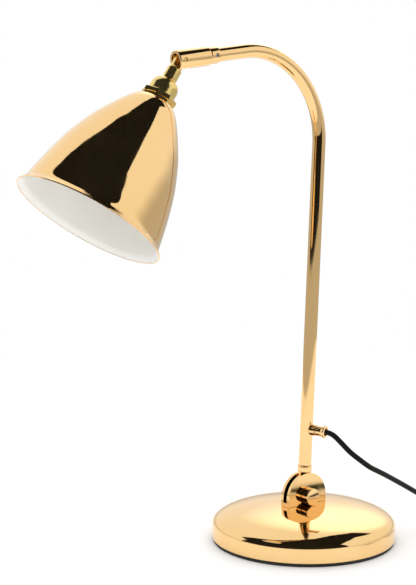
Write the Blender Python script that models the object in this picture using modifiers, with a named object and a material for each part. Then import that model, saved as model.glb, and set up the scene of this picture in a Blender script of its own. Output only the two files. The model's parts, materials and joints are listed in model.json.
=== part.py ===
"""Swing arm desk lamp in polished gold: a weighted round base, a stem that tilts in a slotted
bracket, a bent tube arm, a swivel socket with a knuckle, and a bell shade on an E14 lampholder.

Metres, +Z up. The origin is the centre of the underside of the base. The arm reaches towards -X,
the clamp knob faces -Y, and the mains lead leaves the stem towards -Y and runs round to +X.
"""

from math import asin, cos, pi, radians, sin

import bmesh
import bpy
from mathutils import Matrix, Vector
from mathutils.geometry import interpolate_bezier

MM = 0.001
MERGE = 0.00001  # metres; points of a turned shape this close become one

# ---------------------------------------------------------------- driving dimensions, millimetres

GAP = 0.3  # between pieces that touch

BASE_R = 85.0
PAD_T = 2.7
PLATE_T = 1.2
RIM_BOTTOM = 3.0
RIM_TOP = 15.0
DOME_TOP = 34.5
DOME_POWER = 2.2  # above 2 the dome is flatter on top and rounder at its shoulder than an ellipse
COVER_T = 1.2
NUT_RECESS_R = 10.0
NUT_RECESS_H = 8.0

BRACKET_W = 45.0
BRACKET_T = 11.0
BRACKET_TOP = 63.6
SLOT_W = 4.6
SLOT_FLOOR = 37.9
PIVOT_Z = 42.4
PIVOT_R = 2.0
STUD_R = 3.0
BOLT_WASHER_T = 0.6
FRICTION_WASHER_T = 0.5
KNOB_R = 7.9
KNOB_L = 7.7

LEAN = radians(2.6)  # the stem leans back from the arm at rest
TUBE_R = 6.0
TUBE_WALL = 1.2
FOOT_R = 6.65
FOOT_FROM = 22.0  # heights along the stem are measured from the tilt pivot
FOOT_TO = 28.2
BEND_START = 324.8
BEND_R = 76.7
BEND_ANGLE = radians(100.2)
ARM_REACH = 68.4  # from the end of the bend to the knuckle pin
GRIP_AT = 61.8
GRIP_END = 20.0  # distances along the cord grip are measured from the stem's axis
BOSS_END = 10.2
BUSH_END = 18.0

PIN_HOLE_R = 1.8
COLLAR_R = 7.1
COLLAR_BACK = -38.4  # distances along the arm's end are measured outwards from the knuckle pin
COLLAR_FRONT = -28.4
SOCKET_BACK = -28.1
SOCKET_R = 8.1
SOCKET_END = 5.0
SPIGOT_R = 4.0

HEAD_TILT = radians(35.2)
LINK_T = 3.6
NECK_R = 6.25
NECK_FROM = 10.0  # distances along the shade's axis are measured from the knuckle pin
NECK_TO = 21.2
CAP_TO = 36.4
RING_FROM = 36.8
RING_TO = 42.8
MOUTH_AT = 160.0
HOLDER_R = 12.7
HOLDER_END = 78.0
SHADE_WALL = 0.8

CORD_R = 2.5
COIL_CENTRE = (147.6, -78.8)
COIL_MEAN_R = 28.5
COIL_HALF_W = 7.5
COIL_H = 14.0
SWITCH_X = (98.0, 148.0)
SWITCH_Y = -142.0
SWITCH_AXIS_Z = 6.0
SWITCH_W = 19.0
SWITCH_SPLIT = 7.5
PLUG_X = 84.0
PLUG_AXIS_Z = 6.85
PIN_R = 2.0
PIN_OFFSET = 9.3

# Outside of the shade: height above the mouth, radius.
SHADE_OUTLINE = [
    (0.0, 65.3), (1.2, 64.9), (3.4, 62.8), (6.5, 61.3), (18.4, 59.1), (36.0, 55.4),
    (55.0, 50.2), (75.4, 42.3), (88.0, 35.9), (100.0, 28.9), (109.0, 23.0), (114.3, 18.6),
    (116.5, 15.8), (116.9, 13.2),
]

# Mains lead in the air, from the cord grip down to the top of the coil.
LEAD_ROUTE = [
    (12.6, -25.0, 101.8), (14.6, -29.6, 98.4), (17.2, -34.6, 93.4), (21.0, -39.9, 87.2),
    (26.8, -45.3, 80.9), (36.0, -50.0, 73.1), (45.0, -51.0, 68.2), (56.0, -51.0, 62.4),
    (68.0, -50.6, 55.8), (80.0, -50.0, 49.2), (92.0, -49.2, 42.4), (104.0, -48.2, 35.7),
    (116.0, -47.0, 29.2), (128.0, -46.0, 23.1), (140.0, -45.4, 17.5),
]

GOLD = ((0.94, 0.66, 0.30, 1), 0.08, 1.0)
BRASS = ((0.80, 0.64, 0.30, 1), 0.20, 1.0)
STEEL = ((0.62, 0.62, 0.62, 1), 0.30, 1.0)
IRON = ((0.10, 0.10, 0.11, 1), 0.70, 0.6)
RUBBER = ((0.015, 0.015, 0.016, 1), 0.55, 0.0)
PLASTIC = ((0.02, 0.02, 0.022, 1), 0.35, 0.0)
CERAMIC = ((0.85, 0.85, 0.82, 1), 0.30, 0.0)
GLASS = ((0.95, 0.95, 0.93, 1), 0.15, 0.0)


# ---------------------------------------------------------------- helpers

def clear_scene():
    for obj in list(bpy.data.objects):
        bpy.data.objects.remove(obj, do_unlink=True)


def new_collection(name):
    made = bpy.data.collections.new(name)
    bpy.context.scene.collection.children.link(made)
    return made


def axis_empty(name, at, turn_y=0.0):
    """An empty at a point in millimetres, turned about Y, that pieces are parented to."""
    empty = bpy.data.objects.new(name, None)
    LAMP.objects.link(empty)
    empty.location = Vector(at) * MM
    empty.rotation_euler = (0, turn_y, 0)
    return empty


def finish_material(name, finish):
    colour, roughness, metallic = finish
    made = bpy.data.materials.new(name)
    made.use_nodes = True
    shader = made.node_tree.nodes["Principled BSDF"]
    shader.inputs["Base Color"].default_value = colour
    shader.inputs["Roughness"].default_value = roughness
    shader.inputs["Metallic"].default_value = metallic
    return made


def add(name, data, finish=None, parent=None, at=(0, 0, 0), toward=None):
    """A piece from a mesh or curve. toward turns its local Z; no finish makes it a cutter."""
    obj = bpy.data.objects.new(name, data)
    (LAMP if finish else CUTTERS).objects.link(obj)
    obj.parent = parent
    obj.location = Vector(at) * MM
    if toward:
        obj.rotation_euler = Vector(toward).to_track_quat("Z", "Y").to_euler()
    if finish:
        data.materials.append(finish_material(name, finish))
    else:
        obj.hide_render = True
        obj.display_type = "WIRE"
    return obj


def turned(name, outline, finish=None, parent=None, at=(0, 0, 0), toward=None, steps=28,
           closed=False):
    """A turned piece: (radius, height) points down its outer side, spun about local Z."""
    mesh = bpy.data.meshes.new(name)
    shape = bmesh.new()
    points = [shape.verts.new((r * MM, 0, z * MM)) for r, z in outline]
    pairs = list(zip(points, points[1:]))
    if closed:
        pairs.append((points[-1], points[0]))
    for pair in pairs:
        shape.edges.new(pair)
    shape.to_mesh(mesh)
    shape.free()
    obj = add(name, mesh, finish, parent, at, toward)
    screw = obj.modifiers.new("turn", "SCREW")
    screw.steps = steps
    screw.render_steps = steps
    screw.use_merge_vertices = True
    screw.merge_threshold = MERGE
    screw.use_smooth_shade = True
    return obj


def ring(name, outer, inner, low, high, finish=None, parent=None, at=(0, 0, 0), toward=None,
         steps=24, edge=0.0):
    """A turned ring, with its outer corners chamfered by edge."""
    outline = [(outer - edge, high), (outer, high - edge), (outer, low + edge), (outer - edge, low)]
    if not edge:
        outline = [(outer, high), (outer, low)]
    outline += [(inner, low), (inner, high)]
    return turned(name, outline, finish, parent, at, toward, steps, closed=True)


def rod(name, radius, low, high, finish=None, parent=None, at=(0, 0, 0), toward=None,
        steps=24, edge=0.0):
    """A turned rod, with its corners chamfered by edge."""
    outline = [(0, high), (radius - edge, high), (radius, high - edge)]
    outline += [(radius, low + edge), (radius - edge, low), (0, low)]
    if not edge:
        outline = [(0, high), (radius, high), (radius, low), (0, low)]
    return turned(name, outline, finish, parent, at, toward, steps)


def block(name, size, finish=None, parent=None, at=(0, 0, 0), bevel=0.0, segments=2):
    """A box of the given size about its middle, with its edges rounded by bevel."""
    mesh = bpy.data.meshes.new(name)
    shape = bmesh.new()
    bmesh.ops.create_cube(shape, size=1.0, matrix=Matrix.Diagonal((*(Vector(size) * MM), 1)))
    shape.to_mesh(mesh)
    shape.free()
    obj = add(name, mesh, finish, parent, at)
    if bevel:
        rounding = obj.modifiers.new("round", "BEVEL")
        rounding.width = bevel * MM
        rounding.segments = segments
    return obj


def prism(name, sides, radius, low, high, finish=None, parent=None, at=(0, 0, 0), toward=None):
    """A prism with flat sides about local Z; radius is to its corners."""
    mesh = bpy.data.meshes.new(name)
    shape = bmesh.new()
    bmesh.ops.create_cone(
        shape, cap_ends=True, segments=sides, radius1=radius * MM, radius2=radius * MM,
        depth=(high - low) * MM, matrix=Matrix.Translation((0, 0, (low + high) / 2 * MM)),
    )
    shape.to_mesh(mesh)
    shape.free()
    return add(name, mesh, finish, parent, at, toward)


def as_mesh(curve_obj):
    """The mesh of a curve piece, with its caps welded, in the curve's place."""
    bpy.context.view_layer.update()
    evaluated = curve_obj.evaluated_get(bpy.context.evaluated_depsgraph_get())
    mesh = bpy.data.meshes.new_from_object(evaluated)
    shape = bmesh.new()
    shape.from_mesh(mesh)
    bmesh.ops.remove_doubles(shape, verts=shape.verts, dist=0.000001)
    bmesh.ops.recalc_face_normals(shape, faces=shape.faces)
    shape.to_mesh(mesh)
    shape.free()
    name = curve_obj.name
    made = bpy.data.objects.new(name + "_mesh", mesh)
    curve_obj.users_collection[0].objects.link(made)
    made.parent = curve_obj.parent
    made.matrix_world = curve_obj.matrix_world
    made.hide_render = curve_obj.hide_render
    made.display_type = curve_obj.display_type
    bpy.data.objects.remove(curve_obj)
    made.name = name
    return made


def plate(name, outline, thickness, finish=None, parent=None, at=(0, 0, 0)):
    """A flat piece: (x, z) points round its outline, its thickness centred on local Y."""
    curve = bpy.data.curves.new(name, "CURVE")
    curve.dimensions = "2D"
    curve.fill_mode = "BOTH"
    curve.extrude = thickness / 2 * MM
    spline = curve.splines.new("POLY")
    spline.points.add(len(outline) - 1)
    for point, (x, z) in zip(spline.points, outline):
        point.co = (x * MM, z * MM, 0, 1)
    spline.use_cyclic_u = True
    obj = add(name, curve, finish, parent, at)
    obj.rotation_euler = (pi / 2, 0, 0)
    return as_mesh(obj)


def tube(name, points, radius, finish=None, parent=None, sides=2):
    """A round tube along points in millimetres."""
    curve = bpy.data.curves.new(name, "CURVE")
    curve.dimensions = "3D"
    curve.bevel_depth = radius * MM
    curve.bevel_resolution = sides
    curve.use_fill_caps = True
    spline = curve.splines.new("POLY")
    spline.points.add(len(points) - 1)
    for point, place in zip(spline.points, points):
        point.co = (*(Vector(place) * MM), 1)
    return add(name, curve, finish, parent)


def boolean(obj, operation, *others):
    """Cuts the others from a piece, or joins them to it."""
    for other in others:
        step = obj.modifiers.new(other.name, "BOOLEAN")
        step.operation = operation
        step.object = other


def smooth_route(route, spacing):
    """Points about spacing apart on a smooth curve through route."""
    points = [Vector(p) for p in route]
    ends = [points[0] * 2 - points[1], *points, points[-1] * 2 - points[-2]]
    fine = []
    for before, start, end, after in zip(ends, ends[1:], ends[2:], ends[3:]):
        reach = (end - start).length / 3
        leave = start + (end - before).normalized() * reach
        arrive = end - (after - start).normalized() * reach
        fine += interpolate_bezier(start, leave, arrive, end, 12)[:-1]
    fine.append(points[-1])
    total = sum((b - a).length for a, b in zip(fine, fine[1:]))
    count = round(total / spacing)
    made = [fine[0]]
    travelled = 0.0
    for a, b in zip(fine, fine[1:]):
        step = (b - a).length
        while len(made) < count and travelled + step >= len(made) * total / count - 1e-9:
            made.append(a.lerp(b, (len(made) * total / count - travelled) / step))
        travelled += step
    return [*made[:count], fine[-1]]


def arc(centre, radius, start, end, steps):
    """(x, z) points round a circle, from one angle to another, in degrees."""
    angles = [radians(start + (end - start) * i / steps) for i in range(steps + 1)]
    return [(centre[0] + radius * cos(a), centre[1] + radius * sin(a)) for a in angles]


# ---------------------------------------------------------------- places worked out from the sizes

STEM_DIR = Vector((sin(LEAN), 0, cos(LEAN)))
ARM_SIDE = Vector((-cos(LEAN), 0, sin(LEAN)))
PIVOT = Vector((0, 0, PIVOT_Z))
BEND_AT = PIVOT + STEM_DIR * BEND_START
BEND_CENTRE = BEND_AT + ARM_SIDE * BEND_R
ARM_DIR = ARM_SIDE * sin(BEND_ANGLE) + STEM_DIR * cos(BEND_ANGLE)
BEND_END = BEND_CENTRE - ARM_SIDE * (BEND_R * cos(BEND_ANGLE)) + STEM_DIR * (BEND_R * sin(BEND_ANGLE))
KNUCKLE = BEND_END + ARM_DIR * ARM_REACH
ARM_TURN = -pi / 2 - asin(-ARM_DIR.z)
GRIP_DIR = Vector((0.37, -0.928, -0.045)).normalized()
GRIP_CENTRE = PIVOT + STEM_DIR * GRIP_AT


def dome_height(radius, inset=0.0):
    """Height of the dome's surface, or of one set in from it."""
    share = 1 - (radius / (BASE_R - inset)) ** DOME_POWER
    return RIM_TOP + (DOME_TOP - RIM_TOP - inset) * share ** (1 / DOME_POWER)


def dome_outline(hole, inset, steps):
    """(radius, height) points from a central hole to the rim, closest together at the shoulder."""
    outline = [(hole, dome_height(hole, inset))]
    for i in range(1, steps + 1):
        radius = (BASE_R - inset) * sin(pi / 2 * i / steps) ** (2 / DOME_POWER)
        outline.append((radius, dome_height(radius, inset)))
    return outline


# ---------------------------------------------------------------- base

def base_cover():
    """Spun shell: dome, rounded shoulder and upright rim, with a hole for the stud."""
    hole = STUD_R + GAP
    outer = dome_outline(hole, 0, 10) + [(BASE_R, RIM_BOTTOM)]
    inner = [(BASE_R - COVER_T, RIM_BOTTOM)] + dome_outline(hole, COVER_T, 9)[::-1]
    turned("base_cover", outer + inner, GOLD, steps=48, closed=True)


def base_filling():
    """Rubber pad, steel closing plate and cast weight under the cover."""
    rim = BASE_R - 1.0
    chamfer = 0.5
    pad = [(0, PAD_T), (rim - chamfer, PAD_T), (rim, PAD_T - chamfer), (rim, chamfer),
           (rim - chamfer, 0), (0, 0)]
    turned("base_pad", pad, RUBBER, steps=48)
    plate_top = RIM_BOTTOM + PLATE_T
    ring("base_plate", BASE_R - COVER_T - GAP, NUT_RECESS_R, RIM_BOTTOM, plate_top, STEEL, steps=48)
    low = plate_top + GAP
    recess_top = low + NUT_RECESS_H
    hole = STUD_R + GAP
    inset = 2 * COVER_T
    weight = dome_outline(hole, inset, 7) + [(BASE_R - inset, low), (NUT_RECESS_R, low)]
    weight += [(NUT_RECESS_R, recess_top), (hole, recess_top)]
    turned("base_weight", weight, IRON, steps=28, closed=True)


def tilt_bracket():
    """Slotted block with a round top, a pin hole and a blind hole for the stud."""
    half = BRACKET_W / 2
    centre_z = BRACKET_TOP - half
    steps = 6
    across = [half * (2 * i / steps - 1) for i in range(steps + 1)]
    foot = [(x, dome_height(abs(x)) + GAP) for x in across]
    body = plate("tilt_bracket", arc((0, centre_z), half, 0, 180, 28) + foot, BRACKET_T, GOLD)
    slot = block("bracket_slot", (BRACKET_W + 10, SLOT_W, 40), at=(0, 0, SLOT_FLOOR + 20))
    hole = rod("bracket_pin_hole", PIVOT_R + GAP, -20, 20, at=PIVOT, toward=(0, 1, 0))
    socket = rod("bracket_stud_hole", STUD_R + GAP, DOME_TOP - 2, DOME_TOP + 2.6)
    for cutter in (slot, hole, socket):
        boolean(body, "DIFFERENCE", cutter)
    edge = body.modifiers.new("edge", "BEVEL")
    edge.width = 0.35 * MM
    edge.segments = 1
    edge.limit_method = "ANGLE"
    edge.angle_limit = radians(50)
    body.modifiers.move(len(body.modifiers) - 1, 0)


def base_fixings():
    """Stud, washer and nut that hold the bracket on the base."""
    shelf = RIM_BOTTOM + PLATE_T + GAP + NUT_RECESS_H
    rod("bracket_stud", STUD_R, shelf - 7.2, DOME_TOP + 2.3, STEEL, edge=0.4)
    ring("stud_washer", 8.0, STUD_R + GAP, shelf - GAP - 1.2, shelf - GAP, STEEL)
    nut = prism("stud_nut", 6, 5.8, shelf - 6.2, shelf - 1.8, STEEL)
    boolean(nut, "DIFFERENCE", rod("stud_nut_hole", STUD_R + GAP, 0, 20))


def pivot_fixings():
    """Cross bolt with a low round head, its washers, and the clamp knob on its front end."""
    half = BRACKET_T / 2
    side = (0, 1, 0)
    head_from = half + GAP + BOLT_WASHER_T + GAP
    knob_face = half + GAP + KNOB_L
    bore = PIVOT_R + GAP
    bolt_end = -knob_face + 2.0
    bolt = [(0, head_from + 2.4), (1.8, head_from + 2.25), (3.4, head_from + 1.7),
            (4.4, head_from + 0.8), (4.7, head_from), (PIVOT_R, head_from), (PIVOT_R, bolt_end),
            (0, bolt_end)]
    turned("pivot_bolt", bolt, GOLD, at=PIVOT, toward=side, steps=24)
    washer_from = half + GAP
    ring("bolt_washer", 5.6, bore, washer_from, washer_from + BOLT_WASHER_T, GOLD, at=PIVOT, toward=side)
    clear = 0.15
    front = clear - SLOT_W / 2
    rear = SLOT_W / 2 - clear - FRICTION_WASHER_T
    for name, low in (("friction_washer_front", front), ("friction_washer_rear", rear)):
        ring(name, 4.2, bore, low, low + FRICTION_WASHER_T, STEEL, at=PIVOT, toward=side)
    low, high = -knob_face, -half - GAP
    bore_end = bolt_end - 0.4
    outline = [(0, bore_end), (bore, bore_end), (bore, high), (KNOB_R - 0.3, high), (KNOB_R, high - 0.3),
               (KNOB_R, low + 0.4), (KNOB_R - 0.4, low), (0, low)]
    turned("tilt_knob", outline, GOLD, at=PIVOT, toward=side, steps=32)


# ---------------------------------------------------------------- stem and arm

def stem_foot():
    """Tongue in the bracket's slot, collar above the bracket and spigot inside the tube."""
    thick = 3.0
    end_r = 4.2
    side = FOOT_R - 0.4
    shoulder = FOOT_FROM - 9
    root = FOOT_FROM + 1
    outline = arc((0, 0), end_r, 180, 360, 12)
    outline += [(side, shoulder), (side, root), (-side, root), (-side, shoulder)]
    tongue = plate("foot_tongue", outline, thick, parent=STEM)
    tube_inner = TUBE_R - TUBE_WALL - GAP
    groove = FOOT_TO - 1.0
    spigot_top = FOOT_TO + 22
    collar = [(0, spigot_top), (tube_inner - 0.5, spigot_top), (tube_inner, spigot_top - 1),
              (tube_inner, FOOT_TO), (FOOT_R - 0.6, FOOT_TO), (FOOT_R, groove), (FOOT_R, FOOT_FROM + 0.3),
              (FOOT_R - 0.3, FOOT_FROM), (0, FOOT_FROM)]
    foot = turned("stem_foot", collar, GOLD, STEM, steps=32)
    boolean(foot, "UNION", tongue)
    boolean(foot, "DIFFERENCE", rod("foot_pin_hole", PIVOT_R + GAP, -5, 5, parent=STEM, toward=(0, 1, 0)))


def arm_line(start, end_cut, bend_steps=16):
    """Points along the tube's centre line, from a height on the stem to a distance short of the knuckle."""
    heights = (start, GRIP_AT - 8, GRIP_AT + 8, BEND_START / 2, BEND_START - 6)
    straight = [PIVOT + STEM_DIR * height for height in heights]
    bend = []
    for i in range(bend_steps + 1):
        angle = BEND_ANGLE * i / bend_steps
        bend.append(BEND_CENTRE - ARM_SIDE * (BEND_R * cos(angle)) + STEM_DIR * (BEND_R * sin(angle)))
    return [*straight, *bend, BEND_END + ARM_DIR * 8, KNUCKLE - ARM_DIR * end_cut]


def arm_tube():
    """Bent tube, hollow for the lead, with a wire hole behind the cord grip."""
    body = as_mesh(tube("arm_tube", arm_line(FOOT_TO + GAP, -COLLAR_BACK + GAP), TUBE_R, GOLD, sides=6))
    body.data.shade_smooth()
    hollow_line = arm_line(FOOT_TO - 5, -COLLAR_BACK - 5)
    hollow = as_mesh(tube("arm_tube_hollow", hollow_line, TUBE_R - TUBE_WALL, sides=4))
    hole = rod("arm_wire_hole", 2.6, 0, 12, at=GRIP_CENTRE, toward=GRIP_DIR, steps=16)
    boolean(body, "DIFFERENCE", hollow, hole)


def cord_grip():
    """Boss on the tube, screwed grip with a flared mouth, and the bush round the lead."""
    boss = ring("grip_boss", 5.2, 3.3, 3.0, BOSS_END, GOLD, at=GRIP_CENTRE, toward=GRIP_DIR, edge=0.3)
    saddle = rod("boss_saddle", TUBE_R + GAP, -20, 20, at=GRIP_CENTRE, toward=STEM_DIR, steps=40)
    boolean(boss, "DIFFERENCE", saddle)
    low, high = BOSS_END + GAP, GRIP_END
    outline = [(3.6, high), (5.4, high), (5.8, high - 0.4), (5.7, high - 1.2), (5.1, high - 2.6),
               (4.75, high - 4.4), (4.65, high - 6.4), (4.65, low + 0.4), (4.4, low), (3.4, low),
               (3.4, high - 1.2)]
    turned("cord_grip", outline, GOLD, at=GRIP_CENTRE, toward=GRIP_DIR, closed=True)
    bush_low = BUSH_END - 5.4
    bush = [(2.2, BUSH_END), (2.9, BUSH_END), (3.1, BUSH_END - 0.3), (3.1, bush_low), (2.2, bush_low)]
    turned("grip_bush", bush, RUBBER, at=GRIP_CENTRE, toward=GRIP_DIR, steps=24, closed=True)


def arm_end():
    """Swivel spigot in the tube's end, its collar and grub screw, and the clip that keeps the socket on."""
    tube_inner = TUBE_R - TUBE_WALL - GAP
    bore = 2.4
    front, back = -13.2, -54.0
    outline = [(bore, front), (SPIGOT_R - 0.4, front), (SPIGOT_R, front - 0.4), (SPIGOT_R, COLLAR_BACK),
               (tube_inner, COLLAR_BACK - GAP), (tube_inner, back), (bore, back)]
    turned("swivel_spigot", outline, STEEL, ARM, closed=True, steps=24)
    collar = ring("swivel_collar", COLLAR_R, SPIGOT_R + GAP, COLLAR_BACK, COLLAR_FRONT, GOLD, ARM, edge=0.7)
    middle = (COLLAR_BACK + COLLAR_FRONT) / 2 - 0.6
    place = {"parent": ARM, "at": (0, 0, middle), "toward": (0, -1, 0)}
    boolean(collar, "DIFFERENCE", rod("collar_screw_hole", 1.8, 3, 10, steps=16, **place))
    screw = rod("collar_grub_screw", 1.5, 4.5, 6.6, STEEL, steps=16, edge=0.15, **place)
    boolean(screw, "DIFFERENCE", prism("grub_screw_hex", 6, 0.85, 5.4, 7, **place))
    ring("spigot_clip", 5.4, SPIGOT_R + 0.2, -15.0, -14.0, STEEL, ARM, steps=24)


def arm_socket():
    """Swivelling socket: a bore for the spigot, an open end and a slot underneath for the knuckle."""
    mouth = 5.75
    step_at = -16.0
    bore = SPIGOT_R + GAP
    outline = [(mouth, SOCKET_END), (SOCKET_R - 0.4, SOCKET_END), (SOCKET_R, SOCKET_END - 0.4),
               (SOCKET_R, SOCKET_BACK + 0.7), (SOCKET_R - 0.7, SOCKET_BACK), (bore, SOCKET_BACK),
               (bore, step_at), (mouth, step_at)]
    socket = turned("arm_socket", outline, GOLD, ARM, steps=32, closed=True)
    slot = block("socket_slot", (14, LINK_T + 1.0, 20), parent=ARM, at=(-8, 0, 1))
    pin = rod("socket_pin_hole", PIN_HOLE_R, -12, 12, parent=ARM, toward=(0, 1, 0), steps=16)
    boolean(socket, "DIFFERENCE", slot, pin)
    rod("knuckle_pin", 1.5, -7.75, 7.75, BRASS, ARM, toward=(0, 1, 0), steps=20, edge=0.3)


# ---------------------------------------------------------------- head

def knuckle_link():
    """Flat eye on the knuckle pin, round neck, and spigot through the top of the cap."""
    eye_r = 4.9
    root = -NECK_FROM - 1
    eye = arc((0, 0), eye_r, 0, 180, 12) + [(-eye_r, root), (eye_r, root)]
    flat = plate("link_eye", eye, LINK_T, parent=HEAD)
    spigot, spigot_end = 4.0, -29.6
    outline = [(0, -NECK_FROM), (NECK_R - 0.4, -NECK_FROM), (NECK_R, -NECK_FROM - 0.4),
               (NECK_R, -NECK_TO), (spigot, -NECK_TO), (spigot, spigot_end), (0, spigot_end)]
    link = turned("knuckle_link", outline, BRASS, HEAD, steps=32)
    boolean(link, "UNION", flat)
    hole = rod("link_pin_hole", PIN_HOLE_R, -5, 5, parent=HEAD, toward=(0, 1, 0), steps=20)
    boolean(link, "DIFFERENCE", hole)


def holder():
    """Cap, nut, threaded body with its two shade rings, insulator and contacts."""
    top, hole = -NECK_TO - GAP, 4.3
    outer = [(hole, top), (7.0, top - 0.3), (9.6, top - 2.0), (11.3, top - 4.6), (12.0, top - 7.2),
             (12.0, -CAP_TO + 0.3), (11.7, -CAP_TO)]
    inner = [(10.8, -CAP_TO), (10.8, top - 7.2), (10.2, top - 5.2), (8.8, top - 3.2), (6.8, top - 1.7),
             (hole, top - 1.4)]
    turned("holder_cap", outer + inner, BRASS, HEAD, closed=True, steps=28)
    nut = prism("cap_nut", 6, 6.6, top - 6.0, top - 2.8, STEEL, HEAD)
    boolean(nut, "DIFFERENCE", rod("cap_nut_hole", hole, -40, -20, parent=HEAD))

    facets = prism("shade_ring", 8, 15.9, -RING_TO, -RING_FROM, BRASS, HEAD)
    ring_bore = rod("shade_ring_bore", HOLDER_R + GAP, -60, -20, parent=HEAD, steps=40)
    boolean(facets, "DIFFERENCE", ring_bore)
    ring("inner_ring", 15.6, HOLDER_R + GAP, -50.0, -44.8, BRASS, HEAD, steps=32, edge=0.8)

    bore, roof, crown, lead_hole = 9.2, -39.0, -33.7, 2.6
    body = [(lead_hole, crown), (10.2, crown), (10.5, crown - 0.3), (10.5, -CAP_TO - 0.2),
            (HOLDER_R, -CAP_TO - 0.6), (HOLDER_R, -HOLDER_END + 0.5), (HOLDER_R - 0.5, -HOLDER_END),
            (bore, -HOLDER_END), (bore, roof), (lead_hole, roof)]
    turned("holder_body", body, BRASS, HEAD, closed=True, steps=32)
    rod("holder_insert", bore - GAP, -56.0, -48.0, CERAMIC, HEAD, edge=0.5)
    ring("screw_shell", 7.7, 7.2, -76.0, -56.3, BRASS, HEAD, steps=24)
    contact = [(0, -56.3), (2.5, -56.3), (2.5, -57.0), (1.6, -58.2), (0, -58.4)]
    turned("centre_contact", contact, BRASS, HEAD, steps=16)


def bulb():
    """Round E14 lamp: brass cap, contact tip and opal glass."""
    turned("bulb_tip", [(0, -58.7), (2.4, -58.9), (4.6, -60.7), (0, -60.7)], CERAMIC, HEAD, steps=20)
    cap = [(0, -61.0), (5.0, -61.0), (6.7, -63.0), (6.7, -82.0), (7.2, -84.0), (0, -84.0)]
    turned("bulb_cap", cap, BRASS, HEAD, steps=24)
    centre, radius, wall = -106.0, 22.5, 0.8
    neck = [(7.4, -84.3), (8.0, -86.0)]
    start = 20.0
    angles = [radians(start + (180 - start) * i / 9) for i in range(10)]
    outer = neck + [(radius * sin(a), centre + radius * cos(a)) for a in angles[:-1]] + [(0, centre - radius)]
    inner = [(0, centre - radius + wall)]
    inner += [((radius - wall) * sin(a), centre + (radius - wall) * cos(a)) for a in reversed(angles[:-1])]
    inner += [(r - wall, z) for r, z in reversed(neck)]
    turned("bulb_glass", inner + outer, GLASS, HEAD, steps=20)


def shade():
    """Bell shade: a spun shell open at the mouth, with a hole at the top for the lampholder."""
    outer = [(radius, height - MOUTH_AT) for height, radius in reversed(SHADE_OUTLINE)]
    obj = turned("shade", outer, GOLD, HEAD, steps=48)
    wall = obj.modifiers.new("wall", "SOLIDIFY")
    wall.thickness = SHADE_WALL * MM
    wall.offset = -1


# ---------------------------------------------------------------- leads, switch and plug

def inner_lead():
    """The cores inside the stem and arm, from the cord grip to the swivel spigot."""
    start = [GRIP_CENTRE + GRIP_DIR * 12.4, GRIP_CENTRE + GRIP_DIR * 8]
    turn = [GRIP_CENTRE + GRIP_DIR * 3.6 + STEM_DIR * 1.0, GRIP_CENTRE + GRIP_DIR * 0.9 + STEM_DIR * 4.0]
    rest = arm_line(GRIP_AT + 10, 14.0, 12)
    line = start + turn + [PIVOT + STEM_DIR * (GRIP_AT + 10), PIVOT + STEM_DIR * (GRIP_AT + 40)] + rest[3:]
    tube("inner_lead", line, 1.7, PLASTIC, sides=2)


def mains_lead():
    """Free lead: hanging stretch, coil, and the tails to the switch and the plug."""
    leave = GRIP_CENTRE + GRIP_DIR * (BUSH_END + 2 * GAP)
    tube("cord_lead", smooth_route([leave, leave + GRIP_DIR * 3, *LEAD_ROUTE], 9.0), CORD_R, RUBBER, sides=2)
    x, y = COIL_CENTRE
    soft = 3.0
    outer = COIL_MEAN_R + COIL_HALF_W
    inner = COIL_MEAN_R - COIL_HALF_W
    section = [(outer - soft, COIL_H), (outer, COIL_H - soft), (outer, soft), (outer - soft, 0),
               (inner + soft, 0), (inner, soft), (inner, COIL_H - soft), (inner + soft, COIL_H)]
    turned("cord_coil", section, RUBBER, at=(x, y, 0), closed=True, steps=32)
    side = x + outer - CORD_R
    turn_r = 24.0
    lying = CORD_R + 0.1
    angles = [radians(degree) for degree in (0, 22.5, 45, 67.5)]
    corner_x, corner_y = side - turn_r, SWITCH_Y + turn_r
    corner = [(corner_x + turn_r * cos(a), corner_y - turn_r * sin(a), lying) for a in angles]
    tail = [(side, y - 24.0, lying), *corner, (corner_x, SWITCH_Y, lying + 0.5),
            (SWITCH_X[1] + 2 * GAP, SWITCH_Y, lying + 1.4)]
    tube("cord_tail", smooth_route(tail, 8.0), CORD_R, RUBBER, sides=2)
    end = [(SWITCH_X[0] - 2 * GAP, SWITCH_Y, SWITCH_AXIS_Z), (PLUG_X + 2 * GAP, SWITCH_Y, PLUG_AXIS_Z)]
    tube("cord_end", smooth_route(end, 7.0), CORD_R, RUBBER, sides=2)


def inline_switch():
    """In-line switch: two shells that clip together, and a rocker in the upper one."""
    middle = sum(SWITCH_X) / 2
    length = SWITCH_X[1] - SWITCH_X[0]
    lower_h = SWITCH_SPLIT - GAP / 2
    upper_h = 7.0
    well_h = 8.0
    lower_at = (middle, SWITCH_Y, lower_h / 2)
    upper_at = (middle, SWITCH_Y, SWITCH_SPLIT + GAP / 2 + upper_h / 2)
    block("switch_lower_shell", (length, SWITCH_W, lower_h), PLASTIC, at=lower_at, bevel=1.6)
    upper = block("switch_upper_shell", (length, SWITCH_W, upper_h), PLASTIC, at=upper_at, bevel=1.6)
    well = block("rocker_well", (22.0, 11.0, well_h), at=(middle, SWITCH_Y, SWITCH_SPLIT + 2.2 + well_h / 2))
    boolean(upper, "DIFFERENCE", well)
    hinge = axis_empty("rocker_axis", (middle, SWITCH_Y, SWITCH_SPLIT + 4.2))
    half = 9.6
    outline = [(0, -1.6), (half, 0.2), (half, 2.4), (half / 2, 3.1), (0, 3.9), (-half / 2, 4.3),
               (-half, 5.4), (-half, 1.0)]
    plate("switch_rocker", outline, 9.6, PLASTIC, hinge)


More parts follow.
